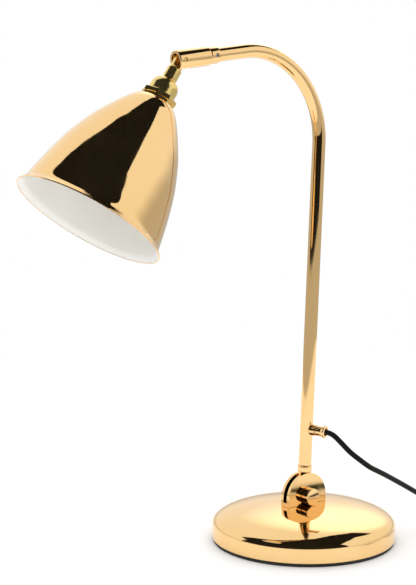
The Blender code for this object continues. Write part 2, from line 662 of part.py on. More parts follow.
def plug():
    """Flat two-pin plug with a short tapered sleeve, lying beside the switch."""
    body_l, body_w, body_h = 32.0, 26.0, 13.5
    sleeve = 8.0
    body_to = PLUG_X - sleeve
    body = block("plug_body", (body_l, body_w, body_h), PLASTIC,
                 at=(body_to - body_l / 2, SWITCH_Y, PLUG_AXIS_Z), bevel=3.0, segments=3)
    taper = turned("plug_sleeve", [(0, sleeve), (3.3, sleeve), (4.8, -4.0), (0, -4.0)],
                   at=(body_to, SWITCH_Y, PLUG_AXIS_Z), toward=(1, 0, 0), steps=20)
    boolean(body, "UNION", taper)
    face = body_to - body_l
    for number, offset in ((1, -PIN_OFFSET), (2, PIN_OFFSET)):
        outline = [(0, 19.0), (1.2, 18.8), (PIN_R, 18.0), (PIN_R, GAP), (0, GAP)]
        place = (face, SWITCH_Y + offset, PLUG_AXIS_Z)
        turned(f"plug_pin_{number}", outline, BRASS, at=place, toward=(-1, 0, 0), steps=16)


clear_scene()
LAMP = new_collection("swing_arm_desk_lamp")
CUTTERS = new_collection("cutters")
CUTTERS.hide_render = True

STEM = axis_empty("stem_axis", PIVOT, LEAN)
ARM = axis_empty("arm_axis", KNUCKLE, ARM_TURN)
HEAD = axis_empty("head_axis", KNUCKLE, HEAD_TILT)

base_cover()
base_filling()
tilt_bracket()
base_fixings()
pivot_fixings()
stem_foot()
arm_tube()
cord_grip()
arm_end()
arm_socket()
knuckle_link()
holder()
bulb()
shade()
inner_lead()
mains_lead()
inline_switch()
plug()
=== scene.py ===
import json
import math

import bmesh
import bpy
import numpy as np
from mathutils import Matrix, Vector


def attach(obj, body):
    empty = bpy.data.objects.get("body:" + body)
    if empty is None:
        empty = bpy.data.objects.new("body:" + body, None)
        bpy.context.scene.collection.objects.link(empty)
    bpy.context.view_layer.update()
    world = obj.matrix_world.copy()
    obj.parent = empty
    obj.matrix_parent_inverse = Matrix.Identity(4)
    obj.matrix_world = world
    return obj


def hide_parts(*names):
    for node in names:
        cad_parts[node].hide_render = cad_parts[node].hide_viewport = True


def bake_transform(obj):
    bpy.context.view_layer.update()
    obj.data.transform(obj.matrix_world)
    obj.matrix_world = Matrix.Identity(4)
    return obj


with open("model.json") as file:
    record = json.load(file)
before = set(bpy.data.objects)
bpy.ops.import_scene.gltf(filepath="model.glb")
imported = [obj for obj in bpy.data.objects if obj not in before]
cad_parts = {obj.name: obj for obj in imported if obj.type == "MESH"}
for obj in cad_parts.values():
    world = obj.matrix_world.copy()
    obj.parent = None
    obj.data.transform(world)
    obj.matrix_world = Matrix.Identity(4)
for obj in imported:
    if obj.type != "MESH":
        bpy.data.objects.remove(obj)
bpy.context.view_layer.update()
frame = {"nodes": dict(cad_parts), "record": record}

bl_info = {
    "name": "Gold desk lamp with a tilting arm",
    "version": (1, 0, 0),
    "blender": (4, 5, 0),
    "location": "3D View > Sidebar > Lamp",
    "description": "Builds the finished surfaces of a polished gold desk lamp round its CAD frame",
    "category": "Add Mesh",
}

BODY_OF = {
    node: body
    for body, members in frame["record"]["behaviour"]["bodies"].items()
    for node in members
}

MM = 0.001
TINY = 1e-6
LEAST_TURN = math.radians(28)  # corners that turn less than this stay as they are
UP = Vector((0, 0, 1))

# ---------------------------------------------------------------- places, millimetres

# The stem leans away from the upright about the cross bolt, and bends over into the arm.
PIVOT = Vector((0, 0, 42.4))
LEAN = math.radians(2.6)
STEM_DIR = Vector((math.sin(LEAN), 0, math.cos(LEAN)))
ARM_SIDE = Vector((-math.cos(LEAN), 0, math.sin(LEAN)))
BEND_START = 324.8
BEND_R = 76.7
BEND_ANGLE = math.radians(100.2)
ARM_REACH = 68.4
BEND_CENTRE = PIVOT + STEM_DIR * BEND_START + ARM_SIDE * BEND_R
ARM_DIR = ARM_SIDE * math.sin(BEND_ANGLE) + STEM_DIR * math.cos(BEND_ANGLE)


def on_bend(angle):
    """A place on the middle line of the tube's bend."""
    return (BEND_CENTRE - ARM_SIDE * (BEND_R * math.cos(angle))
            + STEM_DIR * (BEND_R * math.sin(angle)))


BEND_END = on_bend(BEND_ANGLE)
KNUCKLE = BEND_END + ARM_DIR * ARM_REACH
HEAD_TILT = math.radians(35.2)
GRIP_DIR = Vector((0.37, -0.928, -0.045)).normalized()
GRIP_CENTRE = PIVOT + STEM_DIR * 61.8
LEAD_EXIT = GRIP_CENTRE + GRIP_DIR * 18.6

BASE_R = 85.0
RIM_TOP = 15.0
RIM_BOTTOM = 3.0
DOME_TOP = 34.5
DOME_POWER = 2.2
COVER_T = 1.2
BRACKET_W = 45.0
BRACKET_T = 11.0
BRACKET_TOP = 63.6
SLOT_W = 4.6
SLOT_FLOOR = 37.9
MOUTH_AT = 160.0  # from the knuckle down to the shade's mouth
SHADE_WALL = 0.8

# Outside of the shade: radius, height above the mouth.
SHADE_OUTLINE = [
    (65.3, 0.0), (65.35, 0.45), (64.9, 1.2), (62.8, 3.4), (61.3, 6.5), (59.1, 18.4),
    (55.4, 36.0), (50.2, 55.0), (42.3, 75.4), (35.9, 88.0), (28.9, 100.0), (23.0, 109.0),
    (18.6, 114.3), (15.8, 116.5), (13.2, 116.9),
]

# Mains lead in the air, from the cord grip down to the top of the coil.
LEAD_ROUTE = [
    (12.6, -25.0, 101.8), (14.6, -29.6, 98.4), (17.2, -34.6, 93.4), (21.0, -39.9, 87.2),
    (26.8, -45.3, 80.9), (36.0, -50.0, 73.1), (45.0, -51.0, 68.2), (56.0, -51.0, 62.4),
    (68.0, -50.6, 55.8), (80.0, -50.0, 49.2), (92.0, -49.2, 42.4), (104.0, -48.2, 35.7),
    (116.0, -47.0, 29.2), (128.0, -46.0, 23.1), (140.0, -45.4, 17.5),
]
COIL_CENTRE = Vector((147.6, -78.8, 0))
CORD_SIDES = 14
SWITCH_X, SWITCH_Y = 123.0, -142.0
PLUG_Z = 6.85
STUD_HOLE = 3.3
HINGE_HOLE = 2.3
PIN_HOLE = 1.8


# ---------------------------------------------------------------- studio

CARD_HEIGHT = 2000.0
# The dark card over the lamp: (x, y) round its edge, in metres.
CARD_OUTLINE = [
    (-1.6, 1.85), (-0.90, 1.08), (-0.56, 0.54), (-0.23, 0.33), (0.13, 0.28), (0.50, 0.26),
    (1.0, 0.50), (1.6, 0.60), (2.3, 0.0), (1.35, -0.24), (1.09, -0.70), (0.85, -1.12),
    (0.65, -1.66), (0.49, -2.15), (0.2, -3.2), (-3.0, -3.0), (-3.5, 1.75),
]
CARD_GREY = 0.012
# The dark wall behind the camera, in degrees.
WALL_AZIMUTHS = (150, 285)
WALL_HEIGHTS = (4, 48)
WALL_R = 2600.0
HORIZON = (-0.05, 0.22)  # sines of the heights between which the surround brightens
HORIZON_GREY = 0.55
GLOW_STRENGTH = 0.7
GLOW_AZIMUTH = 38.0
GLOW_HEIGHT = 33.0
GLOW_SPREAD = (0.92, 1.0)  # cosines of the angles from its middle where it starts and is full
# Soft lights: name, place and aim in metres, side in metres, watts.
SOFTBOXES = (
    ("Top softbox", (0.2, 0.3, 2.2), (0, 0, 0.2), 1.6, 9),
    ("Front softbox", (-1.4, -1.4, 1.6), (0, 0, 0.1), 1.4, 8),
)
CAMERA_AT = Vector((-0.8195, -0.9438, 0.3846))
CAMERA_TOWARD = Vector((0.596, 0.794, -0.122)).normalized()
FLOOR_R = 1100.0


# ---------------------------------------------------------------- settings a user would change

class LampSizes(bpy.types.PropertyGroup):
    """Sizes of the finished lamp"""

    tube_radius: bpy.props.FloatProperty(
        name="Tube radius", description="Outer radius of the bent arm tube",
        default=0.006, min=0.004, max=0.007, subtype="DISTANCE", unit="LENGTH")
    cord_length: bpy.props.FloatProperty(
        name="Lead length", description="Length of the mains lead from the grip to the plug",
        default=1.8, min=1.7, max=1.9, subtype="DISTANCE", unit="LENGTH")
    cord_diameter: bpy.props.FloatProperty(
        name="Lead diameter", description="Diameter of the mains lead",
        default=0.005, min=0.004, max=0.006, subtype="DISTANCE", unit="LENGTH")
    edge: bpy.props.FloatProperty(
        name="Bolt edge", description="Radius on the cross bolt's corners",
        default=0.0003, min=0.0, max=0.001, subtype="DISTANCE", unit="LENGTH")


class LampColours(bpy.types.PropertyGroup):
    """Colours of the lamp's finishes"""

    gold: bpy.props.FloatVectorProperty(
        name="Gold plate", description="Colour of the polished gold plating",
        default=(0.94, 0.64, 0.30), size=3, min=0, max=1, subtype="COLOR")
    brass: bpy.props.FloatVectorProperty(
        name="Brass", description="Colour of the bare polished brass",
        default=(0.88, 0.66, 0.24), size=3, min=0, max=1, subtype="COLOR")
    enamel: bpy.props.FloatVectorProperty(
        name="Enamel", description="Colour of the enamel inside the shade",
        default=(0.97, 0.95, 0.90), size=3, min=0, max=1, subtype="COLOR")
    sheath: bpy.props.FloatVectorProperty(
        name="Lead sheath", description="Colour of the mains lead",
        default=(0.006, 0.006, 0.006), size=3, min=0, max=1, subtype="COLOR")


class StudioSettings(bpy.types.PropertyGroup):
    """Lighting and camera"""

    brightness: bpy.props.FloatProperty(
        name="Surround", description="Brightness of the white surround", default=1.0, min=0)
    lens: bpy.props.FloatProperty(
        name="Lens", description="Focal length of the camera, in millimetres",
        default=84.7, min=20, max=200, subtype="DISTANCE_CAMERA")


# ---------------------------------------------------------------- shader sums

# Where a Mix node keeps its colours.
MIX_COLOUR_A, MIX_COLOUR_B, MIX_COLOUR_OUT = 6, 7, 2


class Wire:
    """A shader value that works in ordinary sums."""

    def __init__(self, shading, socket):
        self.shading = shading
        self.socket = socket

    def _sum(self, operation, *values):
        return self.shading.node(
            "ShaderNodeMath", {"operation": operation}, dict(enumerate(values)))

    def __add__(self, other):
        return self._sum("ADD", self, other)

    def __radd__(self, other):
        return self._sum("ADD", other, self)

    def __mul__(self, other):
        return self._sum("MULTIPLY", self, other)

    def __rmul__(self, other):
        return self._sum("MULTIPLY", other, self)


class Shading:
    """A shader tree whose nodes are all made by one method."""

    def __init__(self, tree):
        self.tree = tree

    def node(self, kind, settings=None, sockets=None, out=0):
        made = self.tree.nodes.new(kind)
        for name, value in (settings or {}).items():
            setattr(made, name, value)
        for name, value in (sockets or {}).items():
            self.set(made.inputs[name], value)
        return Wire(self, made.outputs[out])

    def set(self, socket, value):
        if isinstance(value, Wire):
            self.tree.links.new(value.socket, socket)
        else:
            socket.default_value = value


class Finish(Shading):
    """A material of the lamp or the studio."""

    def __init__(self, name, **constants):
        self.material = bpy.data.materials.new(name)
        self.material.use_nodes = True
        super().__init__(self.material.node_tree)
        self.shader = self.tree.nodes["Principled BSDF"]
        for socket, value in constants.items():
            self.shader.inputs[socket.replace("_", " ")].default_value = value

    def place(self, *scale):
        """Places on the piece at rest, in metres, scaled along each axis."""
        at = self.node("ShaderNodeTexCoord", out="Object")
        return self.node("ShaderNodeMapping", {}, {"Vector": at, "Scale": scale})

    def grain(self, scale, detail=4.0, rough=0.55, along=(1, 1, 1)):
        return self.node(
            "ShaderNodeTexNoise", {},
            {"Vector": self.place(*along), "Scale": scale, "Detail": detail, "Roughness": rough})

    def ramp(self, value, low, high):
        return self.node(
            "ShaderNodeMapRange", {"clamp": True},
            {"Value": value, "From Min": low, "From Max": high, "To Min": 0.0, "To Max": 1.0})

    def mix(self, share, a, b):
        return self.node(
            "ShaderNodeMix", {"data_type": "RGBA"},
            {"Factor": share, MIX_COLOUR_A: (*a, 1), MIX_COLOUR_B: (*b, 1)}, out=MIX_COLOUR_OUT)

    def bump(self, height, strength, distance):
        return self.node(
            "ShaderNodeBump", {},
            {"Height": height, "Strength": strength, "Distance": distance})

    def wear(self, **sockets):
        for name, value in sockets.items():
            self.set(self.shader.inputs[name.replace("_", " ")], value)
        return self.material


def tint(colour, by):
    return tuple(channel * by for channel in colour)


def plating(name, colour, smooth, smear=0.05):
    """Polished metal: faint wipe marks in its gloss and a slow drift in its colour."""
    finish = Finish(name, Metallic=1.0)
    drift = finish.ramp(finish.grain(14.0, 3.0), 0.35, 0.65)
    wiped = finish.ramp(finish.grain(55.0, 5.0, 0.6, (1, 1, 0.35)), 0.42, 0.72)
    fine = finish.grain(900.0, 2.0)
    deeper = (colour[0] * 0.985, colour[1] * 0.955, colour[2] * 0.90)
    return finish.wear(
        Base_Color=finish.mix(drift, colour, deeper),
        Roughness=smooth + wiped * smear + fine * 0.015,
        Normal=finish.bump(fine + finish.grain(30.0, 2.0) * 0.6, 0.02, 0.0002))


def machined(name, colour, rough, scale):
    """Bare metal with tool marks."""
    finish = Finish(name, Metallic=1.0)
    marks = finish.grain(scale, 6.0, 0.7, (1, 1, 6))
    blotch = finish.ramp(finish.grain(40.0), 0.3, 0.7)
    return finish.wear(
        Base_Color=finish.mix(blotch, colour, tint(colour, 0.8)),
        Roughness=rough + marks * 0.15,
        Normal=finish.bump(marks, 0.15, 0.0002))


def cast_iron(name):
    """Rough cast iron with a little rust."""
    finish = Finish(name, Metallic=0.4)
    lumps = finish.grain(260.0, 8.0, 0.7)
    rust = finish.ramp(finish.grain(25.0, 6.0), 0.55, 0.72)
    return finish.wear(
        Base_Color=finish.mix(rust, (0.09, 0.09, 0.095), (0.13, 0.085, 0.06)),
        Roughness=0.6 + lumps * 0.25,
        Normal=finish.bump(lumps, 0.6, 0.0006))


def moulded(name, colour, rough, pitch, height, shine=0.5):
    """Moulded plastic or rubber: a fine spark-eroded texture, with dust in its gloss."""
    finish = Finish(name, Metallic=0.0, Specular_IOR_Level=shine)
    texture = finish.grain(pitch, 3.0)
    dust = finish.ramp(finish.grain(35.0, 6.0), 0.5, 0.8)
    dusty = tuple(channel + 0.008 for channel in colour)
    return finish.wear(
        Base_Color=finish.mix(dust * 0.35, colour, dusty),
        Roughness=rough + dust * 0.12 + texture * 0.05,
        Normal=finish.bump(texture, 0.25, height))


def enamelled(name, colour):
    """Sprayed enamel: orange peel, a coat of gloss and faint warm drift."""
    finish = Finish(name, Metallic=0.0, Coat_Weight=0.35, Coat_Roughness=0.18)
    peel = finish.grain(420.0, 2.0)
    drift = finish.ramp(finish.grain(18.0, 4.0), 0.3, 0.7)
    return finish.wear(
        Base_Color=finish.mix(drift, colour, tint(colour, 0.965)),
        Roughness=0.34 + peel * 0.08,
        Normal=finish.bump(peel, 0.12, 0.0003))


def glazed(name, colour, rough):
    """Glazed ceramic or opal glass: a clear coat over fine specks."""
    finish = Finish(name, Metallic=0.0, Coat_Weight=0.5, Coat_Roughness=0.08)
    speck = finish.ramp(finish.grain(500.0, 3.0), 0.62, 0.75)
    return finish.wear(
        Base_Color=finish.mix(speck * 0.3, colour, tint(colour, 0.8)),
        Roughness=rough + finish.grain(80.0) * 0.08,
        Normal=finish.bump(finish.grain(200.0, 2.0), 0.05, 0.0003))


FINISHES = {}


def make_finishes(colours):
    FINISHES.update(
        gold=plating("Polished gold plate", colours.gold, 0.035),
        brass=plating("Polished brass", colours.brass, 0.17, 0.04),
        dull_brass=machined("Machined brass", (0.72, 0.55, 0.24), 0.22, 500.0),
        steel=machined("Zinc plated steel", (0.60, 0.61, 0.63), 0.24, 700.0),
        iron=cast_iron("Cast iron weight"),
        rubber=moulded("Base pad rubber", (0.012, 0.012, 0.013), 0.62, 900.0, 0.0004),
        sheath=moulded("Lead sheath", colours.sheath, 0.27, 1300.0, 0.0001, 0.18),
        plastic=moulded("Black moulded plastic", (0.014, 0.014, 0.015), 0.38, 1100.0, 0.0002),
        enamel=enamelled("White enamel", colours.enamel),
        ceramic=glazed("Glazed ceramic", (0.84, 0.83, 0.79), 0.28),
        opal=glazed("Opal glass", (0.92, 0.92, 0.89), 0.12))


# ---------------------------------------------------------------- mesh making

def turn_to(at, toward=(0, 0, 1)):
    """Matrix in millimetres that puts local Z along toward, at a point."""
    turn = Vector(toward).to_track_quat("Z", "Y").to_matrix().to_4x4()
    return Matrix.Translation(Vector(at)) @ turn


def about_y(at, angle):
    return Matrix.Translation(Vector(at)) @ Matrix.Rotation(angle, 4, "Y")


STEM = about_y(PIVOT, LEAN)
ARM = about_y(KNUCKLE, -math.pi / 2 - math.asin(-ARM_DIR.z))
HEAD = about_y(KNUCKLE, HEAD_TILT)
FLAT = Matrix.Identity(4)
CROSSWISE = turn_to((0, 0, 0), (0, 1, 0))


def soften(outline, radius, closed=False, steps=4):
    """An outline with its sharper corners rounded."""
    points = [Vector(p) for p in outline]
    made = []
    count = len(points)
    for i, point in enumerate(points):
        before, after = points[i - 1] - point, points[(i + 1) % count] - point
        kept = (not closed and i in (0, count - 1)) or point.x < TINY
        kept = kept or min(before.length, after.length) < TINY
        if kept or math.pi - before.angle(after) < LEAST_TURN:
            made.append(point)
            continue
        cut = min(radius, before.length * 0.45, after.length * 0.45)
        start, end = point + before.normalized() * cut, point + after.normalized() * cut
        for k in range(steps + 1):
            t = k / steps
            made.append(start * (1 - t) ** 2 + point * (2 * t * (1 - t)) + end * t ** 2)
    return made


def finish_mesh(name, verts, faces, place=FLAT, sharp=40.0, material_of=None):
    """A piece from points in millimetres, shaded smooth up to a sharp angle."""
    mesh = bpy.data.meshes.new(name)
    mesh.from_pydata([tuple((place @ Vector(v)) * MM) for v in verts], [], faces)
    if material_of:
        mesh.polygons.foreach_set("material_index", material_of)
    shape = bmesh.new()
    shape.from_mesh(mesh)
    bmesh.ops.remove_doubles(shape, verts=shape.verts, dist=1e-7)
    bmesh.ops.recalc_face_normals(shape, faces=shape.faces)
    shape.to_mesh(mesh)
    shape.free()
    obj = bpy.data.objects.new(name, mesh)
    bpy.context.scene.collection.objects.link(obj)
    mesh.shade_smooth()
    mesh.set_sharp_from_angle(angle=math.radians(sharp))
    return obj


def lathe(name, outline, place=FLAT, steps=128, closed=False, sharp=40.0, bands=None):
    """A turned piece from (radius, height) points; bands gives each segment's material number."""
    verts, rows, faces, numbers = [], [], [], []
    for radius, height in outline:
        if radius < TINY:
            rows.append([len(verts)] * steps)
            verts.append((0, 0, height))
        else:
            rows.append(list(range(len(verts), len(verts) + steps)))
            for k in range(steps):
                angle = 2 * math.pi * k / steps
                verts.append((radius * math.cos(angle), radius * math.sin(angle), height))
    pairs = list(zip(range(len(rows)), range(1, len(rows))))
    if closed:
        pairs.append((len(rows) - 1, 0))
    for number, (i, j) in enumerate(pairs):
        for k in range(steps):
            after = (k + 1) % steps
            ring = [rows[i][k], rows[j][k], rows[j][after], rows[i][after]]
            ring = list(dict.fromkeys(ring))
            if len(ring) > 2:
                faces.append(ring)
                numbers.append(bands[number] if bands else 0)
    return finish_mesh(name, verts, faces, place, sharp, numbers)


def plate(name, outline, thickness, place=FLAT, edge=0.0):
    """A flat piece from (x, z) points, its thickness along local Y, its edges rounded."""
    count = len(outline)
    verts = [(x, y, z) for y in (-thickness / 2, thickness / 2) for x, z in outline]
    faces = [list(range(count)), list(range(2 * count - 1, count - 1, -1))]
    for i in range(count):
        j = (i + 1) % count
        faces.append([i, count + i, count + j, j])
    obj = finish_mesh(name, verts, faces, place, 30.0)
    if edge:
        round_edges(obj, edge)
    return obj


def round_edges(obj, width, angle=35.0, segments=3):
    """Rounds a piece's edges that are sharper than the angle, by a width in millimetres."""
    rounding = obj.modifiers.new("rounded edges", "BEVEL")
    rounding.width = width * MM
    rounding.segments = segments
    rounding.limit_method = "ANGLE"
    rounding.angle_limit = math.radians(angle)
    rounding.harden_normals = True


def box_mesh(name, size, at, edge, segments=4):
    """A moulded block of the given size about its middle."""
    x, y, z = (s / 2 for s in size)
    corners = [Vector((a * x, b * y, c * z)) for a in (-1, 1) for b in (-1, 1) for c in (-1, 1)]
    verts = [Vector(at) + corner for corner in corners]
    faces = [(0, 1, 3, 2), (4, 6, 7, 5), (0, 4, 5, 1), (2, 3, 7, 6), (0, 2, 6, 4), (1, 5, 7, 3)]
    obj = finish_mesh(name, verts, faces, sharp=30.0)
    if edge:
        round_edges(obj, edge, segments=segments)
    return obj


def turned_block(size, at, place):
    """A plain cutting block in a turned place."""
    block = box_mesh("block", size, at, 0)
    block.data.transform(Matrix.Scale(MM, 4) @ place @ Matrix.Scale(1 / MM, 4))
    return block


def sweep(name, points, radius, sides, inner=0.0):
    """A round tube along points in millimetres; inner makes it hollow."""
    points = [Vector(p) for p in points]
    last = len(points) - 1
    tangents = [
        (points[min(i + 1, last)] - points[max(i - 1, 0)]).normalized() for i in range(last + 1)]
    across = tangents[0].orthogonal().normalized()
    verts, faces = [], []
    layers = [radius] + ([inner] if inner else [])
    for point, tangent in zip(points, tangents):
        across = (across - tangent * across.dot(tangent)).normalized()
        other = tangent.cross(across)
        for size in layers:
            for k in range(sides):
                angle = 2 * math.pi * k / sides
                verts.append(point + (across * math.cos(angle) + other * math.sin(angle)) * size)
    row = sides * len(layers)
    for i in range(last):
        for layer in range(len(layers)):
            for k in range(sides):
                a = i * row + layer * sides + k
                b = i * row + layer * sides + (k + 1) % sides
                faces.append([a, b, b + row, a + row])
    for end in (0, last * row):
        if inner:
            for k in range(sides):
                j = (k + 1) % sides
                faces.append([end + k, end + j, end + sides + j, end + sides + k])
        else:
            faces.append([end + k for k in range(sides)])
    return finish_mesh(name, verts, faces, sharp=50.0)


def work(obj, operation, tools):
    """Cuts pieces out of a piece or joins them to it, and throws them away."""
    for tool in tools:
        step = obj.modifiers.new("work", "BOOLEAN")
        step.operation = operation
        step.object = tool
        step.solver = "EXACT"
    bake(obj)
    for tool in tools:
        bpy.data.objects.remove(tool)


def cut(obj, *tools):
    work(obj, "DIFFERENCE", tools)


def join(obj, *tools):
    work(obj, "UNION", tools)


def drill(radius, low, high, place, sides=48):
    """A round cutter between two heights along the place's own Z."""
    return lathe("drill", [(0, low), (radius, low), (radius, high), (0, high)], place, sides)


def bake(obj):
    """Puts a piece's modifiers into its mesh."""
    bpy.context.view_layer.update()
    evaluated = obj.evaluated_get(bpy.context.evaluated_depsgraph_get())
    mesh = bpy.data.meshes.new_from_object(evaluated)
    old = obj.data
    obj.modifiers.clear()
    obj.data = mesh
    bpy.data.meshes.remove(old)
    mesh.shade_smooth()
    mesh.set_sharp_from_angle(angle=math.radians(35))


def settle(obj, finish, *nodes, body=None, extra=()):
    """Finishes a piece: its materials, the body it rides on and the nodes it stands for."""
    for key in (finish, *extra):
        obj.data.materials.append(FINISHES[key])
    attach(obj, body or BODY_OF[nodes[0]])
    if nodes:
        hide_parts(*nodes)
    return obj


def dress(finish, *nodes):
    """Gives CAD nodes that show as they are their material."""
    for node in nodes:
        materials = frame["nodes"][node].data.materials
        materials.clear()
        materials.append(FINISHES[finish])


def turned(name, outline, finish, node, place, steps, edge=0.0, ring=False, sharp=40.0):
    """A turned piece that stands for a CAD node; ring closes its outline on itself."""
    if edge:
        outline = soften(outline, edge, ring)
    settle(lathe(name, outline, place, steps, ring, sharp), finish, node)


def arc(centre, radius, start, end, steps):
    angles = [math.radians(start + (end - start) * i / steps) for i in range(steps + 1)]
    return [(centre[0] + radius * math.cos(a), centre[1] + radius * math.sin(a)) for a in angles]


def dome_height(radius, inset=0.0):
    """Height of the base's dome at a radius, or of its underside inset by the wall."""
    share = max(0.0, 1 - (radius / (BASE_R - inset)) ** DOME_POWER)
    return RIM_TOP + (DOME_TOP - RIM_TOP - inset) * share ** (1 / DOME_POWER)


def dome_outline(hole, inset, steps):
    outline = [(hole, dome_height(hole, inset))]
    for i in range(1, steps + 1):
        radius = (BASE_R - inset) * math.sin(math.pi / 2 * i / steps) ** (2 / DOME_POWER)
        outline.append((radius, dome_height(radius, inset)))
    return outline


def smooth_line(points, parts):
    """Points on a smooth curve through the given ones, that many to each stretch."""
    p = np.array([tuple(q) for q in points], float)
    p = np.vstack([2 * p[0] - p[1], p, 2 * p[-1] - p[-2]])
    made = []
    for i in range(1, len(p) - 2):
        for k in range(parts):
            t = k / parts
            made.append(0.5 * (
                2 * p[i] + (p[i + 1] - p[i - 1]) * t
                + (2 * p[i - 1] - 5 * p[i] + 4 * p[i + 1] - p[i + 2]) * t ** 2
                + (3 * p[i] - p[i - 1] - 3 * p[i + 1] + p[i + 2]) * t ** 3))
    made.append(p[-2])
    return np.array(made)


def line_length(points):
    """Length along points."""
    return float(np.linalg.norm(np.diff(points, axis=0), axis=1).sum())


# ---------------------------------------------------------------- operators

class LAMP_OT_finishes(bpy.types.Operator):
    """Mixes the lamp's finishes"""

    bl_idname = "lamp.finishes"
    bl_label = "Finishes"

    def execute(self, context):
        make_finishes(context.scene.lamp_colours)
        return {"FINISHED"}


class LAMP_OT_lead(bpy.types.Operator):
    """Lays the mains lead from the grip through its coil to the plug, and ties the coil"""

    bl_idname = "lamp.lead"
    bl_label = "Mains lead"

    def coil(self, outer):
        """Coil points about its middle: turns stepping between nine places across its section."""
        turn_points, half = 28, 0.22
        spacing, layer, lowest = 5.0, 4.8, 3.1
        share_of_turn_to_land, passes, give, nudge = 0.34, 150, 0.15, 0.3
        order = [(0, 2), (1, 2), (2, 2), (2, 1), (2, 0), (1, 0), (1, 1), (0, 1), (0, 0)]
        cells = np.array([(outer - spacing * c, lowest + layer * r) for c, r in order])
        first = math.atan2(LEAD_ROUTE[-1][1] - COIL_CENTRE.y, LEAD_ROUTE[-1][0] - COIL_CENTRE.x)
        turns = len(cells) - 1 + first / (2 * math.pi)
        count = round(turns * turn_points)
        along = np.linspace(0, turns, count + 1)
        s = along * len(cells) / turns
        places = np.repeat(cells[:1], len(s), axis=0)
        for k in range(1, len(cells)):
            t = np.clip((s - k + half) / (2 * half), 0, 1)
            t = (t * t * (3 - 2 * t))[:, None]
            places = places * (1 - t) + cells[k] * t
        drop = np.clip(along / share_of_turn_to_land, 0, 1)
        lift = layer * (1 - drop * drop * (3 - 2 * drop))
        for _ in range(passes):
            smooth = places.copy()
            smooth[1:-1] = places[1:-1] * (1 - 2 * give) + (places[:-2] + places[2:]) * give
            places = smooth
            for k in range(1, len(cells)):
                gap = turn_points * k
                d = places[gap:] - places[:-gap]
                size = np.maximum(np.linalg.norm(d, axis=1), TINY)
                push = np.clip(spacing - size, 0, None)[:, None] * d / size[:, None] * nudge
                places[gap:] += push
                places[:-gap] -= push
            places[:, 0] = np.minimum(places[:, 0], outer)
            places[:, 1] = np.clip(places[:, 1], lowest, lowest + 2 * layer)
            places[0] = cells[0]
            places[-1] = cells[-1]
        angles = first - 2 * math.pi * along
        return np.stack([
            COIL_CENTRE.x + places[:, 0] * np.cos(angles),
            COIL_CENTRE.y + places[:, 0] * np.sin(angles),
            places[:, 1] + lift], axis=1)

    def tie(self):
        """A thin strap round the coil's section, squarish so that it clears the turns."""
        angle, steps, squareness = math.radians(200), 32, 0.55
        half_width, half_height, strap = 8.6, 7.9, 0.55
        outward = Vector((math.cos(angle), math.sin(angle), 0))
        loop = []
        for k in range(steps + 1):
            c, s = (f(2 * math.pi * k / steps) for f in (math.cos, math.sin))
            wide = half_width * math.copysign(abs(c) ** squareness, c)
            tall = half_height * math.copysign(abs(s) ** squareness, s)
            loop.append(COIL_CENTRE + outward * (28.2 + wide) + UP * (8.5 + tall))
        settle(sweep("lead_tie", loop, strap, 8), "plastic", body="base")

    def route(self, outer):
        """The lead from the grip to the plug, for a coil of the given outer radius."""
        lead = [tuple(LEAD_EXIT), tuple(LEAD_EXIT + GRIP_DIR * 3), *LEAD_ROUTE[:-1]]
        hanging = smooth_line([*lead, tuple(self.coil(outer)[0])], 2)[:-1]
        side, turn_r = 181.1, 24.0
        corner = [
            (side - turn_r + turn_r * math.cos(a), SWITCH_Y + turn_r - turn_r * math.sin(a), 2.6)
            for a in (math.radians(d) for d in (18, 36, 54, 72))]
        straight = [(side - turn_r, 3.1), (148.6, 4.2), (136.0, 5.6), (SWITCH_X, 6.0), (110.0, 6.0),
                    (98.0, 6.0), (90.0, 6.6), (82.0, PLUG_Z)]
        tail = [(side, -90.0, 2.7), (side, -102.8, 2.6), *corner,
                *((x, SWITCH_Y, z) for x, z in straight)]
        return [*hanging, *self.coil(outer), *tail]

    def execute(self, context):
        sizes = context.scene.lamp_sizes
        wanted = sizes.cord_length / MM
        low, high = 30.0, 33.6  # least and greatest outer radius of the coil
        for _ in range(9):
            middle = (low + high) / 2
            if line_length(smooth_line(self.route(middle), 2)) < wanted:
                low = middle
            else:
                high = middle
        path = smooth_line(self.route((low + high) / 2), 2)
        cord = sweep("mains_lead", path, sizes.cord_diameter / MM / 2, CORD_SIDES)
        cord.data.materials.append(FINISHES["sheath"])
        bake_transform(cord)
        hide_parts("cord_lead", "cord_coil", "cord_tail", "cord_end")
        self.tie()
        return {"FINISHED"}


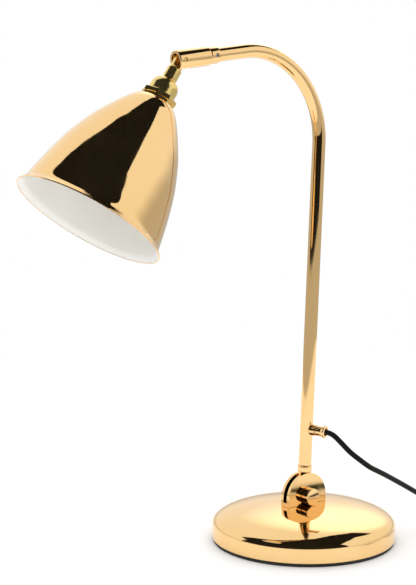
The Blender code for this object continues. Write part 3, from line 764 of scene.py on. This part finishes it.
class LAMP_OT_plug(bpy.types.Operator):
    bl_idname = "lamp.plug"
    bl_label = "Switch and plug"

    def execute(self, context):
        lower = box_mesh("switch_lower_half", (50.0, 19.0, 7.35), (SWITCH_X, SWITCH_Y, 3.675), 1.6)
        settle(lower, "plastic", "switch_lower_shell")
        upper = box_mesh("switch_upper_half", (50.0, 19.0, 7.0), (SWITCH_X, SWITCH_Y, 11.15), 1.6)
        bake(upper)
        cut(upper, box_mesh("well", (22.0, 11.0, 8.0), (SWITCH_X, SWITCH_Y, 13.7), 0))
        settle(upper, "plastic", "switch_upper_shell")
        half = 9.6
        face = [(0, -1.6), (half, 0.2), (half, 2.4), (half * 0.75, 2.75), (half / 2, 3.1),
                (half / 4, 3.45), (0, 3.85), (-half / 4, 4.15), (-half / 2, 4.45),
                (-half * 0.75, 4.85), (-half, 5.4), (-half, 1.0)]
        place = Matrix.Translation((SWITCH_X, SWITCH_Y, 11.7))
        rocker = plate("switch_rocker_cap", face, 9.6, place, 0.4)
        settle(rocker, "plastic", "switch_rocker")
        body = box_mesh("plug_moulding", (32.0, 26.0, 13.5), (60.0, SWITCH_Y, PLUG_Z), 3.2, 6)
        settle(body, "plastic", "plug_body")
        ribs = [(0, 20.0), (2.7, 20.0)]
        for k in range(6):
            high = 19.0 - k * 3.2
            radius = 3.1 + k * 0.33
            ribs += [(radius, high), (radius + 0.1, high - 1.7), (radius - 0.35, high - 2.0),
                     (radius - 0.3, high - 2.9)]
        ribs += [(5.2, -0.5), (5.2, -3.0), (0, -3.0)]
        relief = lathe("plug_strain_relief", ribs, turn_to((76.0, SWITCH_Y, PLUG_Z), (1, 0, 0)), 32)
        settle(relief, "plastic", body="base")
        pins = []
        for number, offset in ((1, -9.3), (2, 9.3)):
            outline = soften([(0, 19.0), (1.2, 18.8), (2.0, 18.0), (2.0, 0.3), (0, 0.3)], 0.4)
            place = turn_to((44.0, SWITCH_Y + offset, PLUG_Z), (-1, 0, 0))
            pin = lathe(f"plug_contact_{number}", outline, place, 32)
            pins.append(settle(pin, "dull_brass", f"plug_pin_{number}"))
        cord = bpy.data.objects["mains_lead"]
        tie = bpy.data.objects["lead_tie"]
        for piece in (cord, lower, upper, rocker, body, relief, *pins, tie):
            piece.visible_glossy = False
        return {"FINISHED"}


class LAMP_OT_base(bpy.types.Operator):
    """Spins the domed base cover and the rubber pad under it"""

    bl_idname = "lamp.base"
    bl_label = "Weighted base"

    def execute(self, context):
        outer = dome_outline(STUD_HOLE, 0, 64)
        outer += [(BASE_R, RIM_BOTTOM + 0.4), (BASE_R - 0.4, RIM_BOTTOM)]
        inner = [(BASE_R - COVER_T, RIM_BOTTOM)] + dome_outline(STUD_HOLE, COVER_T, 40)[::-1]
        cover = lathe("spun_base", outer + inner, steps=256, closed=True, sharp=30.0)
        settle(cover, "gold", "base_cover")
        rim = BASE_R - 1.0
        pad = soften([(0, 2.7), (rim, 2.7), (rim, 0), (rim - 5, 0), (rim - 5, 0.5), (rim - 8, 0.5),
                      (rim - 8, 0), (30, 0), (30, 0.5), (27, 0.5), (27, 0), (0, 0)], 0.4)
        turned("base_pad_ring", pad, "rubber", "base_pad", FLAT, 192)
        dress("steel", "base_plate")
        dress("iron", "base_weight")
        return {"FINISHED"}


class LAMP_OT_bracket(bpy.types.Operator):
    """Cuts the slotted bracket and turns its clamp knob and cross bolt"""

    bl_idname = "lamp.bracket"
    bl_label = "Tilt bracket"

    def execute(self, context):
        side = turn_to(PIVOT, (0, 1, 0))
        half = BRACKET_W / 2
        centre_z = BRACKET_TOP - half
        across = [half * (i / 16 - 1) for i in range(33)]
        foot = [(x, dome_height(abs(x)) + 0.12) for x in across]
        outline = arc((0, centre_z), half, 0, 180, 96) + foot
        body = plate("slotted_bracket", outline, BRACKET_T)
        cut(body,
            box_mesh("slot", (BRACKET_W + 10, SLOT_W, 40), (0, 0, SLOT_FLOOR + 20), 0),
            drill(HINGE_HOLE, -20, 20, side),
            drill(STUD_HOLE, 30, 37.1, FLAT))
        round_edges(body, 0.45, 50.0)
        settle(body, "gold", "tilt_bracket")
        edge = context.scene.lamp_sizes.edge / MM
        head = 6.7
        bolt = [(0, head + 2.4), (0.9, head + 2.37), (1.8, head + 2.25), (2.7, head + 2.02),
                (3.4, head + 1.7), (4.0, head + 1.27), (4.4, head + 0.8), (4.7, head), (2.0, head),
                (2.0, -11.5), (0, -11.5)]
        turned("cross_bolt", bolt, "gold", "pivot_bolt", side, 96, edge)
        low, high = -13.5, -5.8
        knob = [(0, -11.9), (2.3, -11.9), (2.3, high), (7.3, high), (7.9, high - 0.6),
                (7.9, low + 1.7), (7.65, low + 1.55), (7.65, low + 1.25), (7.9, low + 1.1),
                (7.9, low + 0.5), (7.4, low), (0, low)]
        turned("clamp_knob", knob, "gold", "tilt_knob", side, 128, 0.35)
        dress("gold", "bolt_washer")
        dress("steel", "friction_washer_front", "friction_washer_rear", "bracket_stud",
              "stud_washer", "stud_nut")
        return {"FINISHED"}


class LAMP_OT_stem(bpy.types.Operator):
    """Bends the arm tube and turns the foot that tilts in the bracket"""

    bl_idname = "lamp.stem"
    bl_label = "Stem and arm"

    def execute(self, context):
        radius = context.scene.lamp_sizes.tube_radius / MM
        straight = [PIVOT + STEM_DIR * h for h in (28.35, 30, 120, 220, BEND_START - 4)]
        parts = 80
        bend = [on_bend(BEND_ANGLE * i / parts) for i in range(parts + 1)]
        points = [*straight, *bend, BEND_END + ARM_DIR * 4, KNUCKLE - ARM_DIR * 38.5]
        settle(sweep("bent_tube", points, radius, 64, radius - 1.2), "gold", "arm_tube")
        collar = [(0, 50.2), (4.0, 50.2), (4.5, 49.2), (4.5, 28.2), (6.2, 28.2), (6.65, 27.75),
                  (6.65, 27.3), (6.35, 27.15), (6.35, 26.85), (6.65, 26.7), (6.65, 22.3),
                  (6.35, 22.0), (0, 22.0)]
        foot = lathe("stem_collar", soften(collar, 0.2), STEM, 96)
        side = 6.25
        tongue = arc((0, 0), 4.2, 180, 360, 32)
        tongue += [(side, 13.0), (side, 22.4), (-side, 22.4), (-side, 13.0)]
        join(foot, plate("tongue", tongue, 3.0, STEM))
        cut(foot, drill(HINGE_HOLE, -5, 5, STEM @ CROSSWISE))
        settle(foot, "gold", "stem_foot")
        dress("sheath", "inner_lead")
        return {"FINISHED"}


class LAMP_OT_grip(bpy.types.Operator):
    """Turns the boss, the screwed cord grip and the bush round the lead"""

    bl_idname = "lamp.grip"
    bl_label = "Cord grip"

    def execute(self, context):
        place = turn_to(GRIP_CENTRE, GRIP_DIR)
        boss = [(3.3, 4.8), (5.2, 4.8), (5.2, 9.9), (4.9, 10.2), (3.3, 10.2)]
        turned("grip_seat", boss, "gold", "grip_boss", place, 96, 0.25, True)
        high, low = 20.0, 10.5
        outline = [(3.6, high), (5.4, high), (5.8, high - 0.4), (5.75, high - 1.0),
                   (5.4, high - 1.9), (5.05, high - 2.8), (4.85, high - 3.7), (4.72, high - 4.8),
                   (4.65, high - 6.4), (4.65, low + 0.4), (4.4, low), (3.4, low), (3.4, high - 1.2)]
        turned("lead_grip", outline, "gold", "cord_grip", place, 96, 0.2, True)
        bush = [(2.55, 18.0), (2.9, 18.0), (3.1, 17.7), (3.1, 12.6), (2.55, 12.6)]
        turned("lead_bush", bush, "rubber", "grip_bush", place, 48, 0.1, True)
        return {"FINISHED"}


class LAMP_OT_swivel(bpy.types.Operator):
    """Turns the swivel collar and the slotted socket at the arm's end"""

    bl_idname = "lamp.swivel"
    bl_label = "Swivel socket"

    def execute(self, context):
        collar = [(4.3, -38.4), (6.4, -38.4), (7.1, -37.7), (7.1, -29.1), (6.4, -28.4),
                  (4.3, -28.4)]
        ring = lathe("grooved_collar", soften(collar, 0.3, True), ARM, 128, True)
        cut(ring, drill(1.8, 3, 10, ARM @ turn_to((0, 0, -34.0), (0, -1, 0)), 32))
        settle(ring, "gold", "swivel_collar")
        dress("steel", "collar_grub_screw", "swivel_spigot", "spigot_clip")
        outline = [(5.75, 5.0), (7.7, 5.0), (8.1, 4.6), (8.1, -27.4), (7.4, -28.1), (4.3, -28.1),
                   (4.3, -16.0), (5.75, -16.0)]
        socket = lathe("swivel_socket", soften(outline, 0.3, True), ARM, 128, True)
        cut(socket,
            turned_block((14, SLOT_W, 20), (-8, 0, 1), ARM),
            drill(PIN_HOLE, -12, 12, ARM @ CROSSWISE, 32))
        settle(socket, "gold", "arm_socket")
        pin = [(0, 7.75), (1.2, 7.75), (1.5, 7.45), (1.5, -7.45), (1.2, -7.75), (0, -7.75)]
        turned("hinge_pin", pin, "brass", "knuckle_pin", ARM @ CROSSWISE, 48, 0.15)
        return {"FINISHED"}


class LAMP_OT_head(bpy.types.Operator):
    """Turns the neck, the cap, the shade rings and the lampholder"""

    bl_idname = "lamp.head"
    bl_label = "Neck and lampholder"

    def execute(self, context):
        neck = [(0, -10), (5.85, -10), (6.25, -10.4), (6.25, -20.9), (5.95, -21.2), (4.0, -21.2),
                (4.0, -29.6), (0, -29.6)]
        link = lathe("knuckle_neck", soften(neck, 0.3), HEAD, 128)
        eye = arc((0, 0), 4.9, 0, 180, 48) + [(-4.9, -11), (4.9, -11)]
        join(link, plate("eye", eye, 3.6, HEAD))
        cut(link, drill(PIN_HOLE, -5, 5, HEAD @ CROSSWISE, 32))
        settle(link, "brass", "knuckle_link")

        top = -21.5
        outer = [(4.3, top), (6.2, top - 0.15), (7.6, top - 0.55), (8.9, top - 1.3),
                 (9.9, top - 2.3), (10.8, top - 3.6), (11.5, top - 5.1), (11.9, top - 6.7),
                 (12.0, top - 8.0), (12.0, -35.4), (12.25, -35.6), (12.25, -36.1), (12.0, -36.4)]
        inner = [(10.8, -36.4), (10.8, top - 7.2), (10.2, top - 5.2), (8.8, top - 3.2),
                 (6.8, top - 1.7), (4.3, top - 1.4)]
        turned("holder_dome", outer + inner, "brass", "holder_cap", HEAD, 128, 0.2, True)
        dress("steel", "cap_nut")

        flats, ring_r, step = 8, 15.9, math.radians(45)
        rows = [(0.985, -36.8), (1.0, -37.2), (1.0, -40.6), (0.94, -41.2), (0.94, -42.8)]
        corners = [(ring_r * math.cos(step * k), ring_r * math.sin(step * k)) for k in range(flats)]
        verts = [(x * share, y * share, z) for share, z in rows for x, y in corners]
        faces = [list(range(flats)), list(range(len(verts) - 1, len(verts) - 1 - flats, -1))]
        for row in range(len(rows) - 1):
            for k in range(flats):
                a, b = row * flats + k, row * flats + (k + 1) % flats
                faces.append([a, a + flats, b + flats, b])
        ring = finish_mesh("faceted_ring", verts, faces, HEAD, 20.0)
        cut(ring, drill(13.0, -60, -20, HEAD, 96))
        ring.data.set_sharp_from_angle(angle=math.radians(15))
        settle(ring, "brass", "shade_ring")
        clamp = [(13.0, -44.8), (14.8, -44.8), (15.6, -45.6), (15.6, -49.2), (14.8, -50.0),
                 (13.0, -50.0)]
        turned("inner_clamp_ring", clamp, "brass", "inner_ring", HEAD, 96, 0.3, True)

        thread = []
        for k in range(12):
            z = -51.5 - k * 1.9
            thread += [(12.7, z), (12.7, z - 0.5), (12.15, z - 0.95), (12.15, z - 1.4)]
        body = [(2.6, -33.7), (10.2, -33.7), (10.5, -34.0), (10.5, -36.6), (12.7, -37.0), *thread,
                (12.7, -75.0), (12.7, -77.5), (12.2, -78.0), (9.2, -78.0), (9.2, -39.0),
                (2.6, -39.0)]
        turned("threaded_holder", body, "dull_brass", "holder_body", HEAD, 96, 0, True, 30.0)
        insert = [(0, -48.0), (8.4, -48.0), (8.9, -48.5), (8.9, -55.5), (8.4, -56.0), (0, -56.0)]
        turned("ceramic_insert", insert, "ceramic", "holder_insert", HEAD, 64, 0.3)
        wave = [(7.7 if k % 2 else 7.55, -56.3 - k) for k in range(20)] + [(7.7, -76.0)]
        wave += [(7.2, -76.0), (7.2, -56.3)]
        turned("threaded_shell", wave, "dull_brass", "screw_shell", HEAD, 64, ring=True)
        dress("dull_brass", "centre_contact")
        return {"FINISHED"}


class LAMP_OT_bulb(bpy.types.Operator):
    """Turns the small round opal lamp"""

    bl_idname = "lamp.bulb"
    bl_label = "Opal lamp"

    def execute(self, context):
        dress("ceramic", "bulb_tip")
        cap = [(0, -61.0), (5.0, -61.0), (6.3, -62.6)]
        for k in range(8):
            z = -63.2 - k * 2.2
            cap += [(6.7, z), (6.7, z - 0.5), (6.35, z - 1.1), (6.35, z - 1.5)]
        cap += [(6.7, -82.0), (7.2, -84.0), (0, -84.0)]
        turned("bulb_screw_cap", cap, "dull_brass", "bulb_cap", HEAD, 64)
        centre, radius, wall = -106.0, 22.5, 0.8
        angles = [math.radians(20 + 160 * i / 40) for i in range(40)]
        ball = [(radius * math.sin(a), centre + radius * math.cos(a)) for a in angles]
        outer = [(7.4, -84.3), (7.5, -84.7), *ball, (0, centre - radius)]
        hollow = radius - wall
        inside = [(hollow * math.sin(a), centre + hollow * math.cos(a)) for a in reversed(angles)]
        inner = [(0, centre - hollow), *inside, (6.8, -84.7), (6.6, -84.3)]
        turned("opal_globe", outer + inner, "opal", "bulb_glass", HEAD, 128, ring=True)
        return {"FINISHED"}


class LAMP_OT_shade(bpy.types.Operator):
    """Spins the bell shade, gold outside and enamelled inside, with its rolled lip"""

    bl_idname = "lamp.shade"
    bl_label = "Bell shade"

    def execute(self, context):
        parts = 7
        line = smooth_line([(r, h, 0) for r, h in SHADE_OUTLINE], parts)
        outside = [tuple(p[:2]) for p in line]
        count = len(outside)
        inside = []
        for i, (r, h) in enumerate(outside):
            before, after = outside[max(i - 1, 0)], outside[min(i + 1, count - 1)]
            along = Vector((after[0] - before[0], after[1] - before[1])).normalized()
            inside.append((r - abs(along.y) * SHADE_WALL, h - abs(along.x) * SHADE_WALL))
        inside[0] = (outside[0][0] - SHADE_WALL, 0.0)
        outline = outside + inside[::-1]
        bands = [0 if i <= count else 1 for i in range(len(outline))]
        bands[-parts:] = [0] * parts  # the lip is gold on its inside too
        moved = [(r, h - MOUTH_AT) for r, h in outline]
        shade = lathe("bell_shade", moved, HEAD, 256, True, 50.0, bands)
        settle(shade, "gold", "shade", extra=("enamel",))
        return {"FINISHED"}


class LAMP_OT_studio(bpy.types.Operator):
    """Sets the pale floor, the soft lights, the dark cards and the camera"""

    bl_idname = "lamp.studio"
    bl_label = "Studio"

    def floor(self):
        sides = 72
        angles = [2 * math.pi * k / sides for k in range(sides)]
        edge = [(FLOOR_R * math.cos(a), FLOOR_R * math.sin(a), 0) for a in angles]
        obj = finish_mesh("studio_floor", edge, [list(range(sides))])
        finish = Finish("Pale floor", Specular_IOR_Level=0.2)
        speck = finish.grain(3.0, 3.0)
        obj.data.materials.append(finish.wear(
            Base_Color=finish.mix(speck, (0.93, 0.93, 0.93), (0.90, 0.90, 0.90)),
            Roughness=0.7 + speck * 0.1))

    def card(self, name, verts, faces):
        """A dark card that only polished surfaces see."""
        obj = finish_mesh(name, verts, faces)
        finish = Finish(name + " cloth", Roughness=1.0, Specular_IOR_Level=0.0)
        speck = finish.grain(5.0)
        obj.data.materials.append(finish.wear(
            Base_Color=finish.mix(speck, (CARD_GREY,) * 3, (CARD_GREY * 2,) * 3)))
        for ray in ("camera", "diffuse", "transmission", "volume_scatter", "shadow"):
            setattr(obj, "visible_" + ray, False)

    def wall(self, across=24, up=12):
        """Points and faces of the dark wall that curves round behind the camera."""
        verts, faces = [], []
        for j in range(up + 1):
            low, high = WALL_HEIGHTS
            height = math.radians(low + (high - low) * j / up)
            flat, z = WALL_R * math.cos(height), WALL_R * math.sin(height)
            for i in range(across + 1):
                low, high = WALL_AZIMUTHS
                azimuth = math.radians(low + (high - low) * i / across)
                verts.append((flat * math.cos(azimuth), flat * math.sin(azimuth), z))
        for j in range(up):
            for i in range(across):
                k = j * (across + 1) + i
                faces.append([k, k + 1, k + across + 2, k + across + 1])
        return verts, faces

    def surround(self, brightness):
        """A white room: bright overhead, greyer to the horizon, plain white to the camera."""
        world = bpy.data.worlds.new("White surround")
        world.use_nodes = True
        shading = Shading(world.node_tree)

        def rise(value, between, low, high):
            return shading.node(
                "ShaderNodeMapRange", {"interpolation_type": "SMOOTHSTEP"},
                {"Value": value, "From Min": between[0], "From Max": between[1],
                 "To Min": low, "To Max": high})

        toward = shading.node("ShaderNodeTexCoord", out="Generated")
        height = shading.node("ShaderNodeSeparateXYZ", {}, {0: toward}, out="Z")
        a, e = math.radians(GLOW_AZIMUTH), math.radians(GLOW_HEIGHT)
        middle = (math.cos(a) * math.cos(e), math.sin(a) * math.cos(e), math.sin(e))
        near = shading.node(
            "ShaderNodeVectorMath", {"operation": "DOT_PRODUCT"}, {0: toward, 1: middle},
            out="Value")
        glow = rise(near, GLOW_SPREAD, 0.0, GLOW_STRENGTH)
        sky = glow + rise(height, HORIZON, HORIZON_GREY, 1.0)
        seen = shading.node("ShaderNodeLightPath", out="Is Camera Ray")
        bright = shading.node("ShaderNodeMath", {"operation": "MAXIMUM"}, {0: sky, 1: seen})
        back = shading.tree.nodes["Background"]
        shading.set(back.inputs["Color"], (1, 1, 1, 1))
        shading.set(back.inputs["Strength"], bright * brightness)
        return world

    def light(self, name, at, toward, size, power):
        """A square soft light that reflections don't show."""
        lamp = bpy.data.lights.new(name, "AREA")
        lamp.shape = "SQUARE"
        lamp.size = size
        lamp.energy = power
        obj = bpy.data.objects.new(name, lamp)
        bpy.context.scene.collection.objects.link(obj)
        obj.location = at
        obj.rotation_euler = (Vector(at) - Vector(toward)).to_track_quat("Z", "Y").to_euler()
        obj.visible_camera = obj.visible_glossy = False

    def execute(self, context):
        scene = context.scene
        settings = scene.lamp_studio
        scene.world = self.surround(settings.brightness)
        scene.view_settings.view_transform = "Standard"
        self.floor()
        overhead = [(x * 1000, y * 1000, CARD_HEIGHT) for x, y in CARD_OUTLINE]
        self.card("Overhead card", overhead, [list(range(len(overhead)))])
        self.card("Card behind the camera", *self.wall())
        for softbox in SOFTBOXES:
            self.light(*softbox)

        data = bpy.data.cameras.new("Camera")
        data.lens = settings.lens
        data.sensor_width = 36.0
        camera = bpy.data.objects.new("Camera", data)
        scene.collection.objects.link(camera)
        right = CAMERA_TOWARD.cross(UP).normalized()
        turn = Matrix((right, right.cross(CAMERA_TOWARD), -CAMERA_TOWARD)).transposed()
        camera.matrix_world = Matrix.Translation(CAMERA_AT) @ turn.to_4x4()
        scene.camera = camera
        return {"FINISHED"}


OPERATORS = (
    LAMP_OT_finishes, LAMP_OT_lead, LAMP_OT_plug, LAMP_OT_base, LAMP_OT_bracket, LAMP_OT_stem,
    LAMP_OT_grip, LAMP_OT_swivel, LAMP_OT_head, LAMP_OT_bulb, LAMP_OT_shade, LAMP_OT_studio,
)


class LAMP_PT_pieces(bpy.types.Panel):
    """The lamp's pieces"""

    bl_label = "Desk lamp"
    bl_space_type = "VIEW_3D"
    bl_region_type = "UI"
    bl_category = "Lamp"

    def draw(self, context):
        scene = context.scene
        for group in (scene.lamp_sizes, scene.lamp_colours, scene.lamp_studio):
            for name in group.bl_rna.properties.keys():
                if name not in ("rna_type", "name"):
                    self.layout.prop(group, name)
        for operator in OPERATORS:
            self.layout.operator(operator.bl_idname)


CLASSES = (LampSizes, LampColours, StudioSettings, *OPERATORS, LAMP_PT_pieces)


def register():
    for made in CLASSES:
        bpy.utils.register_class(made)
    bpy.types.Scene.lamp_sizes = bpy.props.PointerProperty(type=LampSizes)
    bpy.types.Scene.lamp_colours = bpy.props.PointerProperty(type=LampColours)
    bpy.types.Scene.lamp_studio = bpy.props.PointerProperty(type=StudioSettings)


def unregister():
    del bpy.types.Scene.lamp_studio
    del bpy.types.Scene.lamp_colours
    del bpy.types.Scene.lamp_sizes
    for made in reversed(CLASSES):
        bpy.utils.unregister_class(made)


def main():
    register()
    for operator in OPERATORS:
        group, name = operator.bl_idname.split(".")
        getattr(getattr(bpy.ops, group), name)()


if __name__ == "__main__":
    main()
